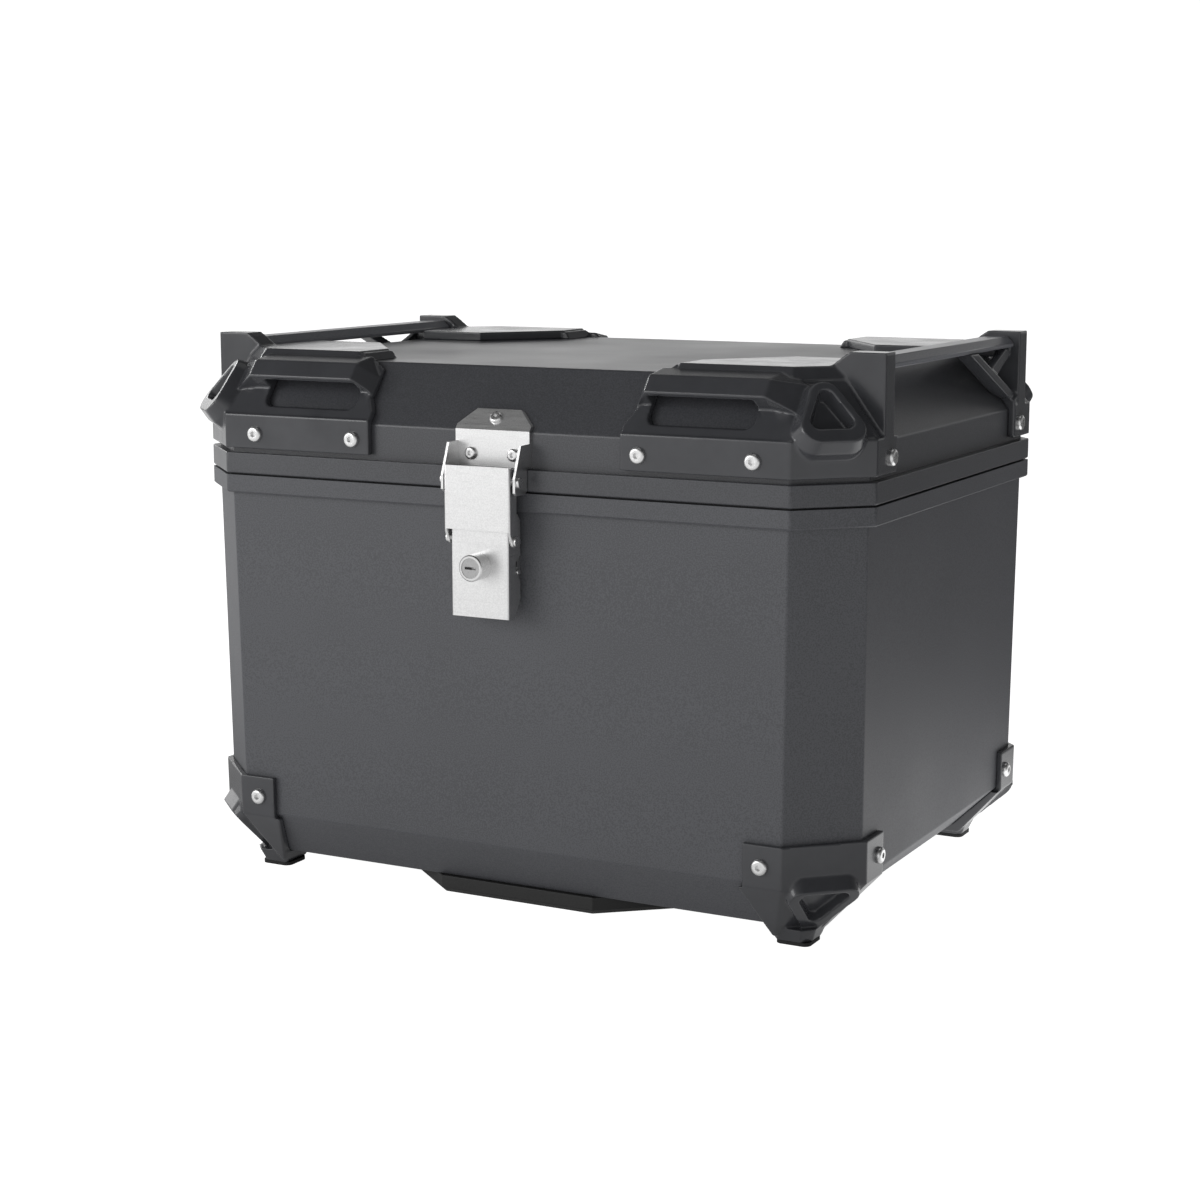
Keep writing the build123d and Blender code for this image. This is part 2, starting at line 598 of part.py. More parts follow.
for side in (-1, 1):
    lug_x = sorted((side * 13.6, side * 15.6))
    latch_base += block(*lug_x, STOP_POINT[0] - 1.5, BASE_FRONT_Y + 1, 195.5, 199.5)
    latch_base += rod((side * 14.6, *STOP_POINT), (side, 0, 0), 1.4, 4.2)
BASE_RIVETS = [(x, z) for x in (-10.5, 10.5) for z in (182.0, 208.0)]
for x, z in BASE_RIVETS:
    latch_base -= rod((x, -170, z), (0, 1, 0), M4_R, 20)
    latch_base -= rod((x, BASE_FRONT_Y, z), (0, 1, 0), 3.6, 1.0)
    case_shell -= rod((x, -170, z), (0, 1, 0), M4_R, 20)


def base_rivet(x, z):
    shank = rod((x, BASE_FRONT_Y, z), (0, 1, 0), M4_R, 5.4)
    head = rod((x, BASE_FRONT_Y, z), (0, 1, 0), 3.6, 1.0)
    tail = rod((x, BASE_FRONT_Y + 4.6, z), (0, 1, 0), 3.0, 1.8)
    return shank + head + tail - case_shell


LEVER_HALF_X = 18.2
LEVER_LOW_Z = 172.1
LEVER_TOP_Z = 224.5         # top edge of the lever's front, under the link
LEVER_BACK_Y = -163.9
LEVER_FOOT_Y = -169.5
lever_wall = [
    (LEVER_FRONT_Y, LEVER_LOW_Z), (LEVER_FRONT_Y, LEVER_TOP_Z), (LEVER_PIVOT[0] - 2.4, LEVER_PIVOT[1] - 2.0),
    (LEVER_PIVOT[0] - 1.2, LEVER_PIVOT[1] + 2.9), (LEVER_PIVOT[0] + 1.2, LEVER_PIVOT[1] + 2.9),
    (-166.5, 229.5), (LEVER_BACK_Y, 226.0), (LEVER_BACK_Y, 206.5), (-168.8, 203.0), (-168.8, 197.0),
    (-164.6, 193.5), (LEVER_BACK_Y, 190.0), (LEVER_BACK_Y, 182.5), (-165.2, 180.0), (LEVER_FOOT_Y, 173.2),
    (LEVER_FOOT_Y, LEVER_LOW_Z),
]
latch_lever = block(
    -LEVER_HALF_X, LEVER_HALF_X, LEVER_FRONT_Y, LEVER_FRONT_Y + LATCH_SHEET, LEVER_LOW_Z, LEVER_TOP_Z,
)
for side in (-1, 1):
    wall_x = sorted((side * LEVER_HALF_X, side * (LEVER_HALF_X - LATCH_SHEET)))
    latch_lever += slab_x(lever_wall, *wall_x) + rod_x(*LEVER_PIVOT, EAR_BOSS_R, *wall_x)
latch_lever += block(
    -LEVER_HALF_X, LEVER_HALF_X, LEVER_FRONT_Y, LEVER_FOOT_Y, LEVER_LOW_Z, LEVER_LOW_Z + LATCH_SHEET,
)


def front_corners(shape, front_y):
    edges = shape.edges().filter_by(Axis.Z)
    return edges.filter_by(lambda edge: abs(edge.center().Y - front_y) < 0.01)


latch_lever = fillet(front_corners(latch_lever, LEVER_FRONT_Y), 1.0)
latch_lever -= rod_x(*LEVER_PIVOT, PIVOT_R + RUNNING, -30, 30)
latch_lever -= rod_x(*LINK_PIVOT, PIVOT_R, -30, 30)
LOCK_BODY_R = 6.5
latch_lever -= rod((0, LEVER_FRONT_Y - 5, LOCK_Z), (0, 1, 0), LOCK_BODY_R + 0.1, 10)
lever_pivot_pin = rod_x(*LEVER_PIVOT, PIVOT_R, -18.9, 18.9)

LINK_HALF_X = 20.8
LINK_LOW_Z = 221.0
LINK_TOP_Z = 256.3
LINK_BACK_Y = -172.2
CLAW_Z = 244.9              # top of the link's walls, just under the strike pin
CLAW_BACK_Y = -177.4        # of the narrow part of the walls, in front of the pin
link_side = [
    (LINK_FRONT_Y, LINK_TOP_Z), (CLAW_BACK_Y, LINK_TOP_Z), (CLAW_BACK_Y, CLAW_Z), (LINK_BACK_Y, CLAW_Z),
    (LINK_BACK_Y, 226.0), (LINK_PIVOT[0] + 3.0, LINK_PIVOT[1] + 1.5),
    (LINK_PIVOT[0] - 2.8, LINK_PIVOT[1] - 2.0), (LINK_FRONT_Y, LINK_LOW_Z),
]
latch_link = block(
    -LINK_HALF_X, LINK_HALF_X, LINK_FRONT_Y, LINK_FRONT_Y + LATCH_SHEET, LINK_LOW_Z, LINK_TOP_Z,
)
for side in (-1, 1):
    side_x = sorted((side * LINK_HALF_X, side * (LINK_HALF_X - LATCH_SHEET)))
    latch_link += slab_x(link_side, *side_x) + rod_x(*LINK_PIVOT, 3.6, *side_x)
latch_link = fillet(front_corners(latch_link, LINK_FRONT_Y), 1.0)
latch_link -= rod_x(*LINK_PIVOT, PIVOT_R + RUNNING, -30, 30)


def link_pivot_pin(side):
    """Pin welded into one wall of the lever, with its head outside the link."""
    shank = rod((side * 15.8, *LINK_PIVOT), (side, 0, 0), PIVOT_R, 5.6)
    head = rod((side * (LINK_HALF_X + 0.1), *LINK_PIVOT), (side, 0, 0), 3.0, 1.2)
    return shank + head


# ---------------------------------------------------------------- lock
LOCK_HEAD_R = 7.4
PLUG_R = 5.6
BARREL_END_Y = -166.5
CAM_Y = (-166.1, -164.6)
TANG = 2.4                  # half width of the plug's square tang
lock_head = rod((0, LEVER_FRONT_Y, LOCK_Z), (0, -1, 0), LOCK_HEAD_R, LEVER_FRONT_Y - LOCK_FACE_Y)
lock_head = chamfer(lock_head.faces().sort_by(Axis.Y)[0].edges(), 0.6)
lock_body = rod((0, LEVER_FRONT_Y, LOCK_Z), (0, 1, 0), LOCK_BODY_R, BARREL_END_Y - LEVER_FRONT_Y)
lock_barrel = lock_head + lock_body
lock_barrel -= rod((0, LOCK_FACE_Y - 1, LOCK_Z), (0, 1, 0), PLUG_R + RUNNING, 25)
lock_plug = rod((0, LOCK_FACE_Y + 0.3, LOCK_Z), (0, 1, 0), PLUG_R, BARREL_END_Y - LOCK_FACE_Y - 0.1)
lock_plug += block(-TANG, TANG, BARREL_END_Y, CAM_Y[1], LOCK_Z - TANG, LOCK_Z + TANG)
lock_plug -= block(-3.6, 3.6, LOCK_FACE_Y, LOCK_FACE_Y + 4.3, LOCK_Z - 0.75, LOCK_Z + 0.75)
lock_cam = block(-4.0, 13.0, *CAM_Y, LOCK_Z - 4.0, LOCK_Z + 4.0)
lock_cam = fillet(lock_cam.edges().filter_by(Axis.Y), 3.0)
lock_cam -= block(-TANG, TANG, CAM_Y[0] - 1, CAM_Y[1] + 1, LOCK_Z - TANG, LOCK_Z + TANG)
nut_place = Plane(origin=(0, LEVER_FRONT_Y + LATCH_SHEET, LOCK_Z), x_dir=(1, 0, 0), z_dir=(0, 1, 0)).location
lock_nut = nut_place * extrude(RegularPolygon(9.6, 6), 3.0)
lock_nut -= rod((0, LEVER_FRONT_Y, LOCK_Z), (0, 1, 0), LOCK_BODY_R, 20)

# ---------------------------------------------------------------- rear hinges
KNUCKLE_GAP = 0.3
MIDDLE_HALF = 14.0
LEAF_T = 2.5
STEP_Y = HALF_Y + 2.5       # face of the leaves' thick steps, outside the rims
LOWER_LEAF_Z = (203.0, 223.0, HINGE_Z - KNUCKLE_R - 0.2)
UPPER_LEAF_Z = (HINGE_Z + KNUCKLE_R + 0.4, 256.0, 272.0)
LOWER_LEAF_Y = HALF_Y - TOP_INSETS[1] + LEAF_T
UPPER_LEAF_Y = HALF_Y - LID_INSET + LEAF_T
LOWER_RIVET_Z = 212.0
UPPER_RIVET_Z = 264.5
RIVET_OFFSETS = (-22.0, 0.0, 22.0)
WEB_Y = HALF_Y + 0.2


def lower_leaf(x):
    half = HINGE_WIDTH / 2
    low, step, high = LOWER_LEAF_Z
    leaf = block(x - half, x + half, 150.0, LOWER_LEAF_Y, low, step + 1)
    leaf += block(x - half, x + half, 150.0, STEP_Y, step, high)
    leaf = leaf - case_outer - prism(0, CASE_RIM_LOW, CASE_RIM_TOP)
    for left, right in ((x - half, x - MIDDLE_HALF - KNUCKLE_GAP), (x + MIDDLE_HALF + KNUCKLE_GAP, x + half)):
        leaf += rod_x(HINGE_Y, HINGE_Z, KNUCKLE_R, left, right)
        leaf += block(left, right, WEB_Y, HINGE_Y, high - 1, HINGE_Z - 1.5)
    return leaf - rod_x(HINGE_Y, HINGE_Z, HINGE_PIN_R, x - half - 1, x + half + 1)


def upper_leaf(x):
    half = HINGE_WIDTH / 2
    low, step, high = UPPER_LEAF_Z
    leaf = block(x - half, x + half, 150.0, UPPER_LEAF_Y, step - 1, high)
    leaf += block(x - half, x + half, 150.0, STEP_Y, low, step)
    leaf = leaf - lid_outer - prism(0, LID_RIM_LOW, LID_RIM_TOP)
    left, right = x - MIDDLE_HALF, x + MIDDLE_HALF
    leaf += rod_x(HINGE_Y, HINGE_Z, KNUCKLE_R, left, right)
    leaf += block(left, right, WEB_Y + 0.6, HINGE_Y, HINGE_Z + 1.2, low + 1)
    return leaf - rod_x(HINGE_Y, HINGE_Z, HINGE_PIN_R + RUNNING, x - half - 1, x + half + 1)


def hinge_pin(x):
    half = HINGE_WIDTH / 2
    pin = rod_x(HINGE_Y, HINGE_Z, HINGE_PIN_R, x - half, x + half)
    for side in (-1, 1):
        pin += rod((x + side * half, HINGE_Y, HINGE_Z), (side, 0, 0), 2.9, 1.0)
    return pin


hinge_x = {"left": -HINGE_X, "right": HINGE_X}
lower_leaves = {side: lower_leaf(x) for side, x in hinge_x.items()}
upper_leaves = {side: upper_leaf(x) for side, x in hinge_x.items()}
hinge_pins = {side: hinge_pin(x) for side, x in hinge_x.items()}
lower_rivets = []
upper_rivets = []
for side, x in hinge_x.items():
    for offset in RIVET_OFFSETS:
        lower_rivets.append(rivet((x + offset, LOWER_LEAF_Y, LOWER_RIVET_Z), (0, 1, 0), M4_R, 4.8, 3.6))
        upper_rivets.append(rivet((x + offset, UPPER_LEAF_Y, UPPER_RIVET_Z), (0, 1, 0), M4_R, 4.2, 3.6))
        low_hole = rod((x + offset, 150, LOWER_RIVET_Z), (0, 1, 0), M4_R, 20)
        high_hole = rod((x + offset, 150, UPPER_RIVET_Z), (0, 1, 0), M4_R, 20)
        lower_leaves[side] -= low_hole
        case_shell -= low_hole
        upper_leaves[side] -= high_hole
        lid_shell -= high_hole

# ---------------------------------------------------------------- screws through guards and shells
LID_SCREW_Z = 265.5
LID_SCREWS_X = (91.0, 158.0)
LID_SIDE_SCREW_Y = 110.0
STRIKER_SCREW_X = 13.5
STRIKER_SCREW_Z = 261.5

low_guard = four_corners(lower_front_right, lower_front_right)
lid_guard_parts = four_corners(lid_front_right, lid_rear_right)
low_screws = []
low_nuts = []
lid_screws = []
lid_nuts = []
case_drills = []
lid_drills = []


def fasten(point, outward, stack, screws, nuts, drills, radius=M5_R, hole=M5_HOLE_R):
    """Screw with its head at point, nut behind a stack of sheets, and the drilling between them."""
    inward = tuple(-value for value in outward)
    screws.append(button_screw(point, outward, radius, stack + radius * 1.6 + 1.0))
    nuts.append(nut(tuple(p + stack * d for p, d in zip(point, inward)), inward, radius))
    drills.append(rod(tuple(p + 1.0 * d for p, d in zip(point, outward)), inward, hole, stack + 3.0))


for sx in (-1, 1):
    for sy in (-1, 1):
        low_stack = LOW_WING_T + WALL + 0.4
        low_face_x = HALF_X - CREASE_INSETS[0] + LOW_WING_T + 0.15
        low_face_y = HALF_Y - CREASE_INSETS[1] + LOW_WING_T + 0.2
        front_seat = (sx * LOW_SCREW_X, sy * low_face_y, LOW_SCREW_Z)
        side_seat = (sx * low_face_x, sy * LOW_SCREW_Y, LOW_SCREW_Z)
        fasten(front_seat, (0, sy, 0), low_stack, low_screws, low_nuts, case_drills)
        fasten(side_seat, (sx, 0, 0), low_stack, low_screws, low_nuts, case_drills)
        lid_stack = GUARD_T + WALL
        for x in LID_SCREWS_X:
            fasten((sx * x, sy * HALF_Y, LID_SCREW_Z), (0, sy, 0), lid_stack, lid_screws, lid_nuts, lid_drills)
        lid_side_seat = (sx * HALF_X, sy * LID_SIDE_SCREW_Y, LID_SCREW_Z)
        fasten(lid_side_seat, (sx, 0, 0), lid_stack, lid_screws, lid_nuts, lid_drills)

striker_screws = []
striker_nuts = []
striker_drills = []
striker_face_y = band_y - STRIKER_T
striker_seats = [((side * STRIKER_SCREW_X, striker_face_y, STRIKER_SCREW_Z), (0, -1, 0)) for side in (-1, 1)]
striker_seats.append(((0, *on_bevel(7.2, STRIKER_T)), (0, -up_slope[1], up_slope[0])))
for seat, outward in striker_seats:
    fasten(seat, outward, STRIKER_T + WALL, striker_screws, striker_nuts, striker_drills, M4_R, M4_HOLE_R)

for drill in case_drills:
    case_shell -= drill
    for corner in low_guard:
        low_guard[corner] -= drill
for drill in lid_drills:
    lid_shell -= drill
    for corner in lid_guard_parts:
        lid_guard_parts[corner] -= drill
for drill in striker_drills:
    lid_shell -= drill
    strike_plate -= drill

rail_screws = [
    button_screw((sx * x, y, 306.4), (0, 0, -1), M5_R, 9.4) for sx in (-1, 1) for x, y in rail_screw_points
]
foot_pads = []
for sx in (-1, 1):
    for sy in (-1, 1):
        pad = Pos(sx * FOOT_X, sy * FOOT_Y, GROUND_Z + PAD_T / 2) * Box(20.0, 20.0, PAD_T)
        foot_pads.append(fillet(pad.edges().filter_by(Axis.Z), 4.0))

# ---------------------------------------------------------------- one file for each piece
pieces = {
    "case_shell": case_shell,
    "case_rim": case_rim,
    "floor_mat": floor_mat,
    "mount_plate": mount_plate,
    "mount_plate_screws": solids_of(mount_plate_screws),
    "mount_plate_nuts": solids_of(mount_plate_nuts),
    "lower_guard_screws": solids_of(low_screws),
    "lower_guard_nuts": solids_of(low_nuts),
    "foot_pads": solids_of(foot_pads),
    "latch_base": latch_base,
    "latch_base_rivets": solids_of([base_rivet(x, z) for x, z in BASE_RIVETS]),
    "lever_pivot_pin": lever_pivot_pin,
    "hinge_lower_rivets": solids_of(lower_rivets),
    "lid_shell": lid_shell,
    "lid_rim": lid_rim,
    "lid_seal": lid_seal,
    "lid_guard_screws": solids_of(lid_screws),
    "lid_guard_nuts": solids_of(lid_nuts),
    "side_rail_left": mirror(rail_right, about=Plane.YZ),
    "side_rail_right": rail_right,
    "rail_screws": solids_of(rail_screws),
    "strike_plate": strike_plate,
    "strike_pin": strike_pin,
    "strike_plate_screws": solids_of(striker_screws),
    "strike_plate_nuts": solids_of(striker_nuts),
    "hinge_upper_rivets": solids_of(upper_rivets),
    "latch_lever": latch_lever,
    "latch_link": latch_link,
    "link_pivot_pins": solids_of([link_pivot_pin(-1), link_pivot_pin(1)]),
    "lock_barrel": lock_barrel,
    "lock_nut": lock_nut,
    "lock_plug": lock_plug,
    "lock_cam": lock_cam,
}
for corner, shape in low_guard.items():
    pieces[f"lower_guard_{corner}"] = shape
for corner, shape in lid_guard_parts.items():
    pieces[f"lid_guard_{corner}"] = shape
for side in hinge_x:
    pieces[f"hinge_lower_leaf_{side}"] = lower_leaves[side]
    pieces[f"hinge_upper_leaf_{side}"] = upper_leaves[side]
    pieces[f"hinge_pin_{side}"] = hinge_pins[side]

for name, shape in pieces.items():
    save(name, shape)
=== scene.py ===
"""Looks of the motorcycle top case: materials, moulded guards and studio. Metres, in the CAD's frame."""

import json
from math import radians

import bmesh
import bpy
from mathutils import Euler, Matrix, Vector
from mathutils.bvhtree import BVHTree
from mathutils.kdtree import KDTree


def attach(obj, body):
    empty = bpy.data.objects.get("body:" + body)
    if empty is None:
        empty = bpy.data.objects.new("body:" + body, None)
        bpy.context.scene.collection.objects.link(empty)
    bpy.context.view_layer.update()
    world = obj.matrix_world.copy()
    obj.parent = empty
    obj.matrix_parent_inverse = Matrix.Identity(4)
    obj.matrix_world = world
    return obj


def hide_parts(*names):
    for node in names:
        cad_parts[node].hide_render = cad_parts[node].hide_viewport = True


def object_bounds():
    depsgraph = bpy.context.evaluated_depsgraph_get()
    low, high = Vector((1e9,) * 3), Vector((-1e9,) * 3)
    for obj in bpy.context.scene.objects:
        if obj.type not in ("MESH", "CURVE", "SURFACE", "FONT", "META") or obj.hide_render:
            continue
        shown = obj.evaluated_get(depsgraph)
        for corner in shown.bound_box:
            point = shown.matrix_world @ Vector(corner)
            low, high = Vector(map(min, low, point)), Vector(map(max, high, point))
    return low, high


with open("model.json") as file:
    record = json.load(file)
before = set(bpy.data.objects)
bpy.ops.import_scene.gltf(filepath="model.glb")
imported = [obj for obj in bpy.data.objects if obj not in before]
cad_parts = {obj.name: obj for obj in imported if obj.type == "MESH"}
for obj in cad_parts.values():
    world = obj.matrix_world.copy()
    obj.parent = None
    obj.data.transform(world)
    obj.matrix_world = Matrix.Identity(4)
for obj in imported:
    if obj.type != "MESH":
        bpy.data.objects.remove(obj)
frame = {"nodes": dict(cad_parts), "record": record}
nodes = frame["nodes"]
cad_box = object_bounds()
MM = 0.001

# ---------------------------------------------------------------- camera
CAMERA_AT = Vector((0.6508, -1.2788, 0.4032))
CAMERA_AZIMUTH = radians(27.6)
CAMERA_ELEVATION = radians(9.72)
LENS_MM = 70.45
SENSOR_MM = 36.0
CLIP_END = 100.0

camera_data = bpy.data.cameras.new("camera")
camera_data.lens = LENS_MM
camera_data.sensor_width = SENSOR_MM
camera_data.clip_end = CLIP_END
camera = bpy.data.objects.new("camera", camera_data)
camera.location = CAMERA_AT
camera.rotation_euler = Euler((radians(90) - CAMERA_ELEVATION, 0, CAMERA_AZIMUTH), "XYZ")
bpy.context.scene.collection.objects.link(camera)
bpy.context.scene.camera = camera

# ---------------------------------------------------------------- node helpers
MIX_DARK = 6       # colour sockets of a Mix node, which share their names with its float sockets
MIX_LIGHT = 7
MIX_RESULT = 2
NOISE_MIDDLE = (0.3, 0.7)


class Nodes:
    """Shorthand for adding linked nodes to a node tree."""

    def __init__(self, tree):
        self.tree = tree

    def add(self, kind, inputs=None, output=0, **settings):
        """Add a node with its settings, values and links, and return one of its outputs."""
        node = self.tree.nodes.new(kind)
        for key, value in settings.items():
            setattr(node, key, value)
        for key, value in (inputs or {}).items():
            if isinstance(value, bpy.types.NodeSocket):
                self.tree.links.new(value, node.inputs[key])
            else:
                node.inputs[key].default_value = value
        return node.outputs[output]

    def math(self, operation, a, b):
        return self.add("ShaderNodeMath", {0: a, 1: b}, operation=operation)

    def map_range(self, value, source, target, **settings):
        """Carry the range source over to the range target; each is a (from, to) pair."""
        inputs = {
            "Value": value, "From Min": source[0], "From Max": source[1],
            "To Min": target[0], "To Max": target[1],
        }
        return self.add("ShaderNodeMapRange", inputs, "Result", **settings)

    def ramp(self, value, source, target):
        """Soft step from one end of target to the other."""
        return self.map_range(value, source, target, interpolation_type="SMOOTHSTEP")

    def axes(self, vector):
        """The x, y and z of a vector socket."""
        first = self.add("ShaderNodeSeparateXYZ", {0: vector})
        return [first.node.outputs[axis] for axis in "XYZ"]


class Shader(Nodes):
    """A principled material being put together node by node."""

    def __init__(self, name, **sockets):
        self.material = bpy.data.materials.new(name)
        self.material.use_nodes = True
        super().__init__(self.material.node_tree)
        self.bsdf = self.tree.nodes["Principled BSDF"]
        for socket, value in sockets.items():
            self.bsdf.inputs[socket.replace("_", " ")].default_value = value
        self.place = self.add("ShaderNodeTexCoord", output="Object")

    def stretched(self, scale):
        return self.add("ShaderNodeMapping", {"Vector": self.place, "Scale": scale})

    def noise(self, scale, detail=2.0, roughness=0.5, vector=None):
        inputs = {"Vector": vector or self.place, "Scale": scale, "Detail": detail, "Roughness": roughness}
        return self.add("ShaderNodeTexNoise", inputs, "Fac")

    def between(self, noise, low, high):
        """Spread the middle of a noise, where nearly all of it lies, from low to high."""
        return self.map_range(noise, NOISE_MIDDLE, (low, high))

    def mixed(self, factor, dark, light):
        inputs = {"Factor": factor, MIX_DARK: (*dark, 1.0), MIX_LIGHT: (*light, 1.0)}
        return self.add("ShaderNodeMix", inputs, MIX_RESULT, data_type="RGBA")

    def bump(self, height, strength, distance, normal=None):
        inputs = {"Height": height, "Strength": strength, "Distance": distance}
        if normal:
            inputs["Normal"] = normal
        return self.add("ShaderNodeBump", inputs, "Normal")

    def drive(self, socket, value):
        self.tree.links.new(value, self.bsdf.inputs[socket])


def shade(value, tint=(1.0, 1.0, 1.0)):
    return tuple(value * t for t in tint)


COOL = (0.95, 0.975, 1.08)       # the slight blue of the black coats and mouldings


# ---------------------------------------------------------------- materials
def powder_coat(name, tone, roughness):
    """Fine-textured powder coat on aluminium sheet or steel."""
    shader = Shader(name, Specular_IOR_Level=0.5)
    grain = shader.noise(scale=1300.0, detail=1.0)
    cloud = shader.noise(scale=9.0, detail=3.0, roughness=0.55)
    mottle = shader.math("ADD", shader.between(grain, -1.1, 1.1), shader.between(cloud, 0.15, 0.85))
    shader.drive("Base Color", shader.mixed(mottle, shade(tone * 0.86, COOL), shade(tone * 1.16, COOL)))
    shader.drive("Roughness", shader.between(cloud, roughness - 0.04, roughness + 0.05))
    shader.drive("Normal", shader.bump(grain, strength=0.3, distance=0.1 * MM))
    return shader.material


def moulded_plastic(name, tone, roughness):
    """Semi-gloss black moulding with a faint flow texture."""
    shader = Shader(name, Specular_IOR_Level=0.55)
    fine = shader.noise(scale=2600.0, detail=1.0)
    flow = shader.noise(scale=38.0, detail=3.0, roughness=0.6)
    shader.drive("Base Color", shader.mixed(flow, shade(tone * 0.8, COOL), shade(tone * 1.25, COOL)))
    shader.drive("Roughness", shader.between(flow, roughness - 0.03, roughness + 0.05))
    shader.drive("Normal", shader.bump(fine, strength=0.02, distance=0.03 * MM))
    return shader.material


def brushed_steel(name, tone, roughness):
    """Satin sheet with a fine grain along x and scattered specks."""
    shader = Shader(name, Metallic=1.0)
    along_grain = shader.stretched((60.0, 60.0, 3200.0))
    streaks = shader.noise(scale=1.0, detail=3.0, roughness=0.7, vector=along_grain)
    specks = shader.noise(scale=1400.0, detail=1.0)
    tint = shader.math("ADD", shader.between(streaks, 0.0, 0.3), shader.between(specks, 0.0, 0.7))
    shader.drive("Base Color", shader.mixed(tint, shade(tone * 0.86), shade(tone * 1.05)))
    shader.drive("Roughness", shader.between(streaks, roughness - 0.07, roughness + 0.08))
    pitted = shader.bump(specks, strength=0.12, distance=0.05 * MM)
    shader.drive("Normal", shader.bump(streaks, strength=0.05, distance=0.03 * MM, normal=pitted))
    return shader.material


def plated(name, tone, roughness):
    """Zinc or nickel plating with a little pitting and handling dirt."""
    shader = Shader(name, Metallic=1.0)
    pits = shader.noise(scale=900.0, detail=3.0, roughness=0.6)
    shader.drive("Base Color", shader.mixed(pits, shade(tone * 0.8), shade(tone * 1.05)))
    shader.drive("Roughness", shader.between(pits, roughness - 0.05, roughness + 0.1))
    shader.drive("Normal", shader.bump(pits, strength=0.08, distance=0.05 * MM))
    return shader.material


def grained_black(name, tone, roughness, grain_scale, depth):
    """Matt black with a leathery mould grain: plate plastic, rubber or foam."""
    shader = Shader(name, Specular_IOR_Level=0.4)
    cells = shader.add("ShaderNodeTexVoronoi", {"Vector": shader.place, "Scale": grain_scale}, "Distance")
    cloud = shader.noise(scale=60.0, detail=3.0, roughness=0.6)
    shader.drive("Base Color", shader.mixed(cloud, shade(tone * 0.75), shade(tone * 1.3)))
    shader.drive("Roughness", shader.between(cloud, roughness - 0.06, roughness + 0.06))
    shader.drive("Normal", shader.bump(cells, strength=0.5, distance=depth))
    return shader.material


CASE_COAT = powder_coat("case_coat", tone=0.075, roughness=0.5)
LID_COAT = powder_coat("lid_coat", tone=0.062, roughness=0.32)
RAIL_COAT = powder_coat("rail_coat", tone=0.16, roughness=0.3)
GUARD = moulded_plastic("guard_black", tone=0.05, roughness=0.2)
LATCH = brushed_steel("latch_satin", tone=0.74, roughness=0.34)
FASTENER = plated("fastener_zinc", tone=0.8, roughness=0.24)
LOCK = plated("lock_nickel", tone=0.72, roughness=0.2)
LOCK_FACE = plated("lock_face", tone=0.42, roughness=0.3)
BLACK_STEEL = powder_coat("hinge_black", tone=0.02, roughness=0.4)
PLATE = grained_black("plate_black", tone=0.02, roughness=0.55, grain_scale=900.0, depth=0.12 * MM)
RUBBER = grained_black("rubber_black", tone=0.015, roughness=0.7, grain_scale=1600.0, depth=0.08 * MM)
FOAM = grained_black("mat_foam", tone=0.04, roughness=0.85, grain_scale=700.0, depth=0.4 * MM)

FINISH = {
    "coated_aluminium": CASE_COAT,
    "guard_plastic": GUARD,
    "rail_coat": RAIL_COAT,
    "latch_steel": LATCH,
    "fastener_steel": FASTENER,
    "lock_chrome": LOCK,
    "black_steel": BLACK_STEEL,
    "plate_plastic": PLATE,
    "seal_rubber": RUBBER,
    "mat_foam": FOAM,
}
OWN_FINISH = {"lid_shell": LID_COAT, "lid_rim": LID_COAT, "lock_plug": LOCK_FACE}
slot_of = {part["node"]: part["material_slot"] for part in frame["record"]["subparts"]}


def paint(piece, material):
    piece.data.materials.clear()
    piece.data.materials.append(material)


for name, node in nodes.items():
    paint(node, OWN_FINISH.get(name, FINISH[slot_of[name]]))

# ---------------------------------------------------------------- softened edges of sheet and extrusions
SAME_POINT = 0.005 * MM          # CAD faces meet within this
SOFT_SEGMENTS = 2
SOFT_ANGLE = radians(28)         # edges that bend less than this stay as they are
RIM_EDGE = 0.5 * MM
SHEET_EDGE = 0.3 * MM
SOFT_EDGES = {
    "case_rim": RIM_EDGE, "lid_rim": RIM_EDGE, "mount_plate": RIM_EDGE,
    "side_rail_left": RIM_EDGE, "side_rail_right": RIM_EDGE,
    "latch_lever": SHEET_EDGE, "latch_link": SHEET_EDGE,
    "strike_plate": SHEET_EDGE, "latch_base": SHEET_EDGE,
}


def soften(piece, width):
    """Round the edges of a CAD node that are sharp in its form."""
    weld = piece.modifiers.new("weld", "WELD")
    weld.merge_threshold = SAME_POINT
    bevel = piece.modifiers.new("soft_edges", "BEVEL")
    bevel.width = width
    bevel.segments = SOFT_SEGMENTS
    bevel.limit_method = "ANGLE"
    bevel.angle_limit = SOFT_ANGLE
    bevel.harden_normals = True
    bevel.use_clamp_overlap = True


for name, width in SOFT_EDGES.items():
    soften(nodes[name], width)

# ---------------------------------------------------------------- moulded guards
SHARP_EDGE = radians(12)
EDGE_STEP = 0.7 * MM
SMOOTH_PASSES = 4
SMOOTH_FACTOR = 0.5
ROUND_PART = 0.45                # share of the reach beside an edge that stays fully rounded
GUARD_CORNERS = ("front_left", "front_right", "rear_left", "rear_right")
LID_GUARD = {"voxel": 0.75 * MM, "reach": 2.3 * MM}
LOWER_GUARD = {"voxel": 0.6 * MM, "reach": 1.8 * MM}


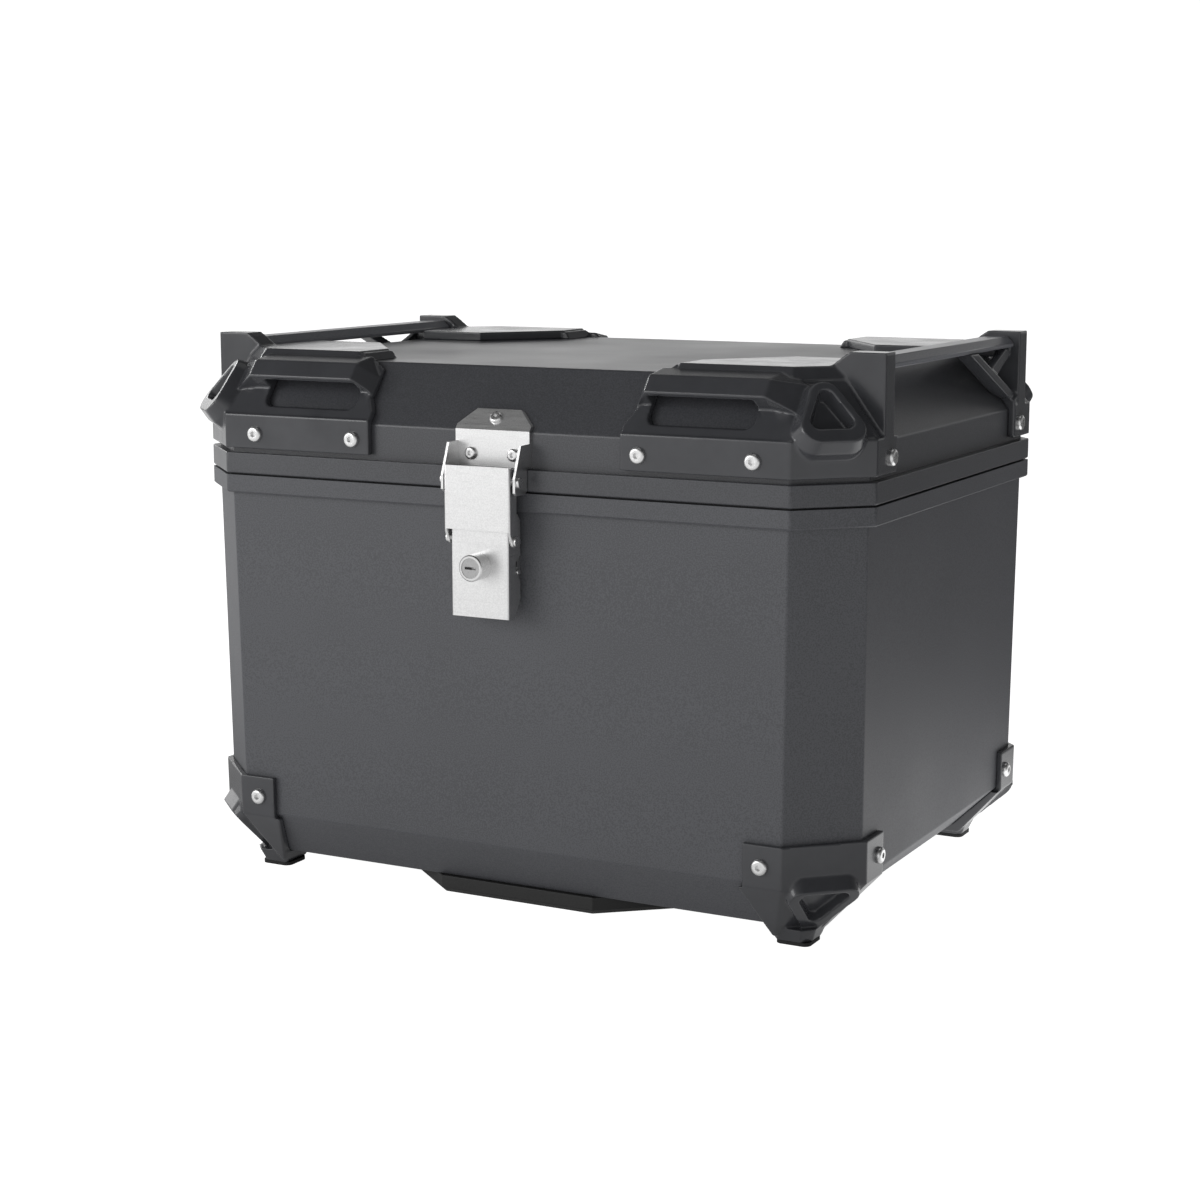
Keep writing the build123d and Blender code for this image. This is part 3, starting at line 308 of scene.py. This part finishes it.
def edge_samples(mesh):
    """Points along every sharp edge of a mesh."""
    form = bmesh.new()
    form.from_mesh(mesh)
    bmesh.ops.remove_doubles(form, verts=form.verts, dist=SAME_POINT)
    points = []
    for edge in form.edges:
        if len(edge.link_faces) != 2 or edge.calc_face_angle(0.0) > SHARP_EDGE:
            start, end = edge.verts[0].co, edge.verts[1].co
            count = max(1, int((end - start).length / EDGE_STEP))
            points.extend(start.lerp(end, i / count) for i in range(count + 1))
    form.free()
    tree = KDTree(len(points))
    for i, point in enumerate(points):
        tree.insert(point, i)
    tree.balance()
    return tree


def smoothed_form(piece, voxel):
    """The mesh of a piece after a voxel remesh and a few smoothing passes."""
    remesh = piece.modifiers.new("remesh", "REMESH")
    remesh.mode = "VOXEL"
    remesh.voxel_size = voxel
    smooth = piece.modifiers.new("smooth", "SMOOTH")
    smooth.iterations = SMOOTH_PASSES
    smooth.factor = SMOOTH_FACTOR
    mesh = bpy.data.meshes.new_from_object(piece.evaluated_get(bpy.context.evaluated_depsgraph_get()))
    piece.modifiers.clear()
    return mesh


def return_to_form(mesh, source, reach):
    """Put the vertices back on the source's surface, except within reach of its sharp edges."""
    form = bmesh.new()
    form.from_mesh(source)
    surface = BVHTree.FromBMesh(form)
    edges = edge_samples(source)
    for vertex in mesh.vertices:
        on_form = surface.find_nearest(vertex.co)[0]
        away = edges.find(on_form)[2] / reach
        blend = min(1.0, max(0.0, (away - ROUND_PART) / (1.0 - ROUND_PART)))
        vertex.co = vertex.co.lerp(on_form, blend * blend * (3 - 2 * blend))
    form.free()


def moulded(name, body, voxel, reach):
    """A guard with rounded edges and true flat faces, made from its CAD form."""
    source = nodes[name].data
    piece = bpy.data.objects.new(f"{name}_moulding", source.copy())
    bpy.context.scene.collection.objects.link(piece)
    piece.data = smoothed_form(piece, voxel)
    return_to_form(piece.data, source, reach)
    for polygon in piece.data.polygons:
        polygon.use_smooth = True
    paint(piece, GUARD)
    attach(piece, body)
    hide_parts(name)


for corner in GUARD_CORNERS:
    moulded(f"lid_guard_{corner}", "lid", **LID_GUARD)
    moulded(f"lower_guard_{corner}", "case", **LOWER_GUARD)

# ---------------------------------------------------------------- studio
# The world's brightness by direction. Pairs are a start and an end of a soft step.
BACK_WALL = 0.74                 # backdrop behind the object
BACK_DEPTH = (0.0, 0.6)          # comes in with y
BACK_EDGE = (0.18, 0.34)         # ends with z
BACK_RIGHT = (0.0, 0.35)         # weakens with x
BACK_RIGHT_SHARE = 0.15          # to this share
WALLS = (1.03, 0.28)             # from the front left to the rear right
WALLS_TURN = (-1.1, 0.9)         # by x + y
CEILING_RISE = (0.1, 0.8)        # the walls darken with z
CEILING_SHARE = 0.12             # to this share

# The floor's glow by place, in metres.
FLOOR_HALF = 12.0
FLOOR_BELOW = 0.2 * MM           # under the feet, so that nothing lies in one plane with it
FLOOR_TONE = 0.5
FLOOR_GLOW = 0.66
FLOOR_FRONT = (-0.4, 0.04)       # the front glow ends, by y
FLOOR_LEFT = (-0.8, -0.3)        # the left glow ends, by x
PATCH_AT = (0.38, 0.12, 0.0)     # bright patch beside the right wall
PATCH_FADE = (0.1, 0.42)
PATCH_GLOW = 1.3
WHITE = (1.0, 1.0, 1.0, 1.0)


def area_light(name, location, target, size, power):
    data = bpy.data.lights.new(name, "AREA")
    data.shape = "RECTANGLE"
    data.size, data.size_y = size
    data.energy = power
    light = bpy.data.objects.new(name, data)
    light.location = location
    aim = Vector(target) - Vector(location)
    light.rotation_euler = aim.to_track_quat("-Z", "Y").to_euler()
    bpy.context.scene.collection.objects.link(light)


def white_to_camera(tree, strength):
    """The strength, but at least 1 where the camera looks straight at it."""
    return tree.math("MAXIMUM", strength, tree.add("ShaderNodeLightPath", output="Is Camera Ray"))


def studio_world():
    """Backdrop behind, softer walls round the sides and a dark ceiling, all shown as white."""
    world = bpy.data.worlds.new("studio")
    bpy.context.scene.world = world
    world.use_nodes = True
    background = world.node_tree.nodes["Background"]
    tree = Nodes(world.node_tree)
    x, y, z = tree.axes(tree.add("ShaderNodeTexCoord", output="Generated"))
    back = tree.ramp(y, BACK_DEPTH, (0.0, BACK_WALL))
    back = tree.math("MULTIPLY", back, tree.ramp(z, BACK_EDGE, (1.0, 0.0)))
    back = tree.math("MULTIPLY", back, tree.ramp(x, BACK_RIGHT, (1.0, BACK_RIGHT_SHARE)))
    walls = tree.ramp(tree.math("ADD", x, y), WALLS_TURN, WALLS)
    walls = tree.math("MULTIPLY", walls, tree.ramp(z, CEILING_RISE, (1.0, CEILING_SHARE)))
    shown = white_to_camera(tree, tree.math("ADD", back, walls))
    world.node_tree.links.new(shown, background.inputs["Strength"])
    background.inputs["Color"].default_value = WHITE


def floor_material():
    """Pale surface that glows in front, at the left and in one patch, and is shown as white."""
    shader = Shader("floor_pale", Roughness=0.9, Specular_IOR_Level=0.1)
    shader.bsdf.inputs["Base Color"].default_value = (*shade(FLOOR_TONE), 1.0)
    shader.bsdf.inputs["Emission Color"].default_value = WHITE
    x, y = shader.axes(shader.place)[:2]
    from_patch = {0: shader.place, 1: PATCH_AT}
    distance = shader.add("ShaderNodeVectorMath", from_patch, "Value", operation="DISTANCE")
    patch = shader.ramp(distance, PATCH_FADE, (PATCH_GLOW, 0.0))
    front = shader.ramp(y, FLOOR_FRONT, (FLOOR_GLOW, 0.0))
    left = shader.ramp(x, FLOOR_LEFT, (FLOOR_GLOW, 0.0))
    glow = shader.math("MAXIMUM", shader.math("MAXIMUM", front, left), patch)
    shader.drive("Emission Strength", white_to_camera(shader, glow))
    return shader.material


def studio_floor():
    mesh = bpy.data.meshes.new("floor")
    corners = [(x * FLOOR_HALF, y * FLOOR_HALF, 0) for x, y in ((-1, -1), (1, -1), (1, 1), (-1, 1))]
    mesh.from_pydata(corners, [], [(0, 1, 2, 3)])
    floor = bpy.data.objects.new("floor", mesh)
    floor.location.z = cad_box[0][2] - FLOOR_BELOW
    bpy.context.scene.collection.objects.link(floor)
    mesh.materials.append(floor_material())


studio_world()
studio_floor()
area_light("key", location=(-1.4, -1.7, 0.9), target=(0, 0, 0.2), size=(1.4, 1.0), power=14.0)
area_light("top", location=(0.2, 0.4, 2.2), target=(0, 0, 0.2), size=(1.5, 1.5), power=3.0)
area_light("spark", location=(-1.7, 0.7, 0.95), target=(0.1, 0, 0.3), size=(0.5, 0.4), power=5.0)
bpy.context.scene.view_settings.view_transform = "Standard"
